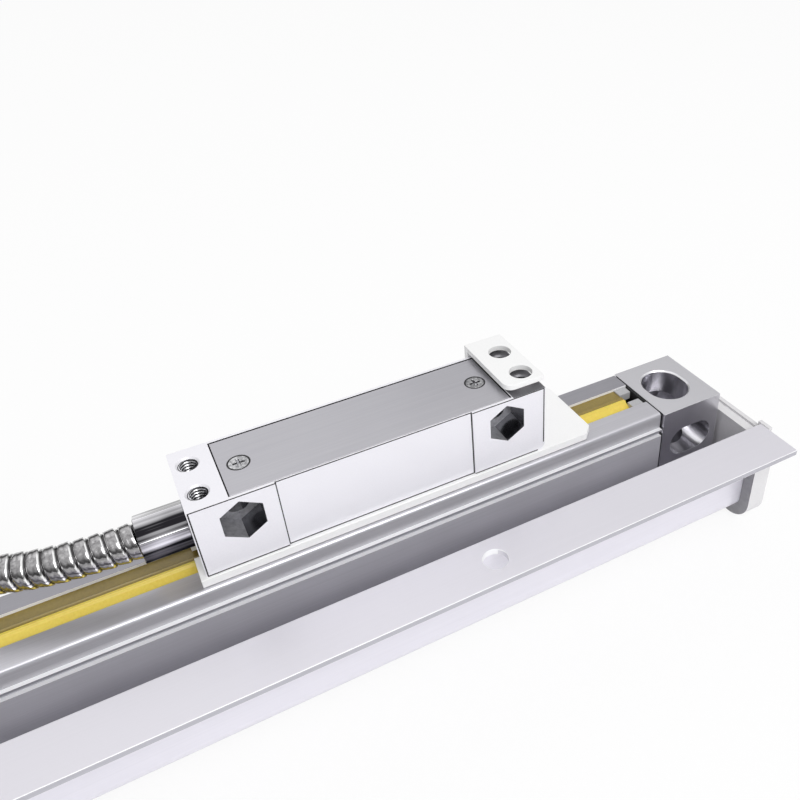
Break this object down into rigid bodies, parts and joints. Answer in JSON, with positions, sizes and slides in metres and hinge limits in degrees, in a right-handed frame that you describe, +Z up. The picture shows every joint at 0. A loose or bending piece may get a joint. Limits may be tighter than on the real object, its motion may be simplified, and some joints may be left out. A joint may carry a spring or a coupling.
{
  "type": "linear glass scale",
  "caption": "Sealed linear glass scale: slotted aluminium housing, sliding reading head with armoured cable and plug, end blocks, shipping bracket and an open protective cover.",
  "frame": {"origin": "under the middle of the scale, on the surface the cover's end caps stand on", "axes": "+X along the scale to the right end, +Y towards the back, +Z up"},
  "size_m": [0.317, 0.1563, 0.0556],
  "materials": {
    "anodised_profile": "satin anodised extrusion",
    "cast_block": "fine shot-blasted casting",
    "steel_screw": "machined, plain",
    "lip_elastomer": "yellow, moulded",
    "clip_plastic": "moulded",
    "scale_glass": "polished",
    "seal_rubber": "matt",
    "cover_aluminium": "clear anodised, bent sheet",
    "cap_plastic": "moulded",
    "reader_casting": "fine-blasted and clear anodised",
    "plate_steel": "brushed sheet",
    "board_laminate": "solder mask",
    "component_plastic": "moulded",
    "gland_chrome": "polished and plated",
    "bracket_plastic": "white, moulded",
    "blade_steel": "ground",
    "carriage_metal": "die cast",
    "bearing_steel": "ground",
    "ribbon_film": "amber film",
    "conduit_steel": "wound stainless strip",
    "tie_plastic": "moulded strap",
    "hood_plastic": "moulded",
    "shell_steel": "tin plated",
    "insert_plastic": "moulded",
    "contact_gold": "gold plated",
    "thumbscrew_steel": "knurled"
  },
  "bodies": {
    "scale": {"scale_housing": "anodised_profile", "end_block_left": "cast_block", "end_block_right": "cast_block", "end_gasket_left": "seal_rubber", "end_gasket_right": "seal_rubber", "end_block_screws_left": "steel_screw", "end_block_screws_right": "steel_screw", "seal_lip_front": "lip_elastomer", "seal_lip_rear": "lip_elastomer", "lip_clips_front": "clip_plastic", "lip_clips_rear": "clip_plastic", "glass_scale": "scale_glass", "glass_bond": "seal_rubber", "cover_channel": "cover_aluminium", "cover_end_cap_left": "cap_plastic", "cover_end_cap_right": "cap_plastic"},
    "reader": {"reader_body": "reader_casting", "reader_cover_plate": "plate_steel", "reader_gasket": "seal_rubber", "cover_plate_screws": "steel_screw", "signal_board": "board_laminate", "signal_board_posts": "component_plastic", "signal_board_chips": "component_plastic", "cable_gland": "gland_chrome", "shipping_bracket": "bracket_plastic", "reader_blade": "blade_steel", "blade_screws": "steel_screw", "coupling_spring": "blade_steel", "scanning_carriage": "carriage_metal", "bearing_pins": "steel_screw", "light_source": "component_plastic", "collimator_lens": "scale_glass", "index_grating": "scale_glass", "photodetector": "component_plastic", "detector_board": "board_laminate", "signal_ribbon": "ribbon_film", "conduit_run": "conduit_steel", "conduit_coil": "conduit_steel", "conduit_tail": "conduit_steel", "coil_tie": "tie_plastic", "plug_hood_upper": "hood_plastic", "plug_hood_lower": "hood_plastic", "plug_hood_screws": "steel_screw", "plug_shell": "shell_steel", "plug_insert": "insert_plastic", "plug_contacts": "contact_gold"},
    "carriage_bearing_1_body": {"carriage_bearing_1": "bearing_steel"},
    "carriage_bearing_2_body": {"carriage_bearing_2": "bearing_steel"},
    "carriage_bearing_3_body": {"carriage_bearing_3": "bearing_steel"},
    "carriage_bearing_4_body": {"carriage_bearing_4": "bearing_steel"},
    "carriage_bearing_5_body": {"carriage_bearing_5": "bearing_steel"},
    "plug_thumbscrew_left_body": {"plug_thumbscrew_left": "thumbscrew_steel"},
    "plug_thumbscrew_right_body": {"plug_thumbscrew_right": "thumbscrew_steel"}
  },
  "joints": [
    {"name": "reader_slide", "type": "slide", "parent": "scale", "child": "reader", "axis": [1, 0, 0], "range_m": [-0.155, 0.03]},
    {"name": "bearing_1_spin", "type": "hinge", "parent": "reader", "child": "carriage_bearing_1_body", "pos_m": [0.0405, 0.00528, 0.0127], "axis": [0, 0, 1], "continuous": true},
    {"name": "bearing_2_spin", "type": "hinge", "parent": "reader", "child": "carriage_bearing_2_body", "pos_m": [0.0845, 0.00528, 0.0127], "axis": [0, 0, 1], "continuous": true},
    {"name": "bearing_3_spin", "type": "hinge", "parent": "reader", "child": "carriage_bearing_3_body", "pos_m": [0.0755, 0.00528, 0.0163], "axis": [0, 0, 1], "continuous": true},
    {"name": "bearing_4_spin", "type": "hinge", "parent": "reader", "child": "carriage_bearing_4_body", "pos_m": [0.0365, 0.00883, 0.0263], "axis": [0, 1, 0], "continuous": true},
    {"name": "bearing_5_spin", "type": "hinge", "parent": "reader", "child": "carriage_bearing_5_body", "pos_m": [0.0885, 0.00883, 0.0263], "axis": [0, 1, 0], "continuous": true},
    {"name": "plug_thumbscrew_left_turn", "type": "hinge", "parent": "reader", "child": "plug_thumbscrew_left_body", "pos_m": [-0.1525, 0.1042, 0.0359], "axis": [0, 1, 0], "continuous": true},
    {"name": "plug_thumbscrew_right_turn", "type": "hinge", "parent": "reader", "child": "plug_thumbscrew_right_body", "pos_m": [-0.1275, 0.1042, 0.0359], "axis": [0, 1, 0], "continuous": true}
  ],
  "couplings": [
    {"joint": "bearing_1_spin", "follows": "reader_slide", "rad_per_m": 400},
    {"joint": "bearing_2_spin", "follows": "reader_slide", "rad_per_m": 400},
    {"joint": "bearing_3_spin", "follows": "reader_slide", "rad_per_m": 400},
    {"joint": "bearing_4_spin", "follows": "reader_slide", "rad_per_m": 400},
    {"joint": "bearing_5_spin", "follows": "reader_slide", "rad_per_m": 400}
  ]
}
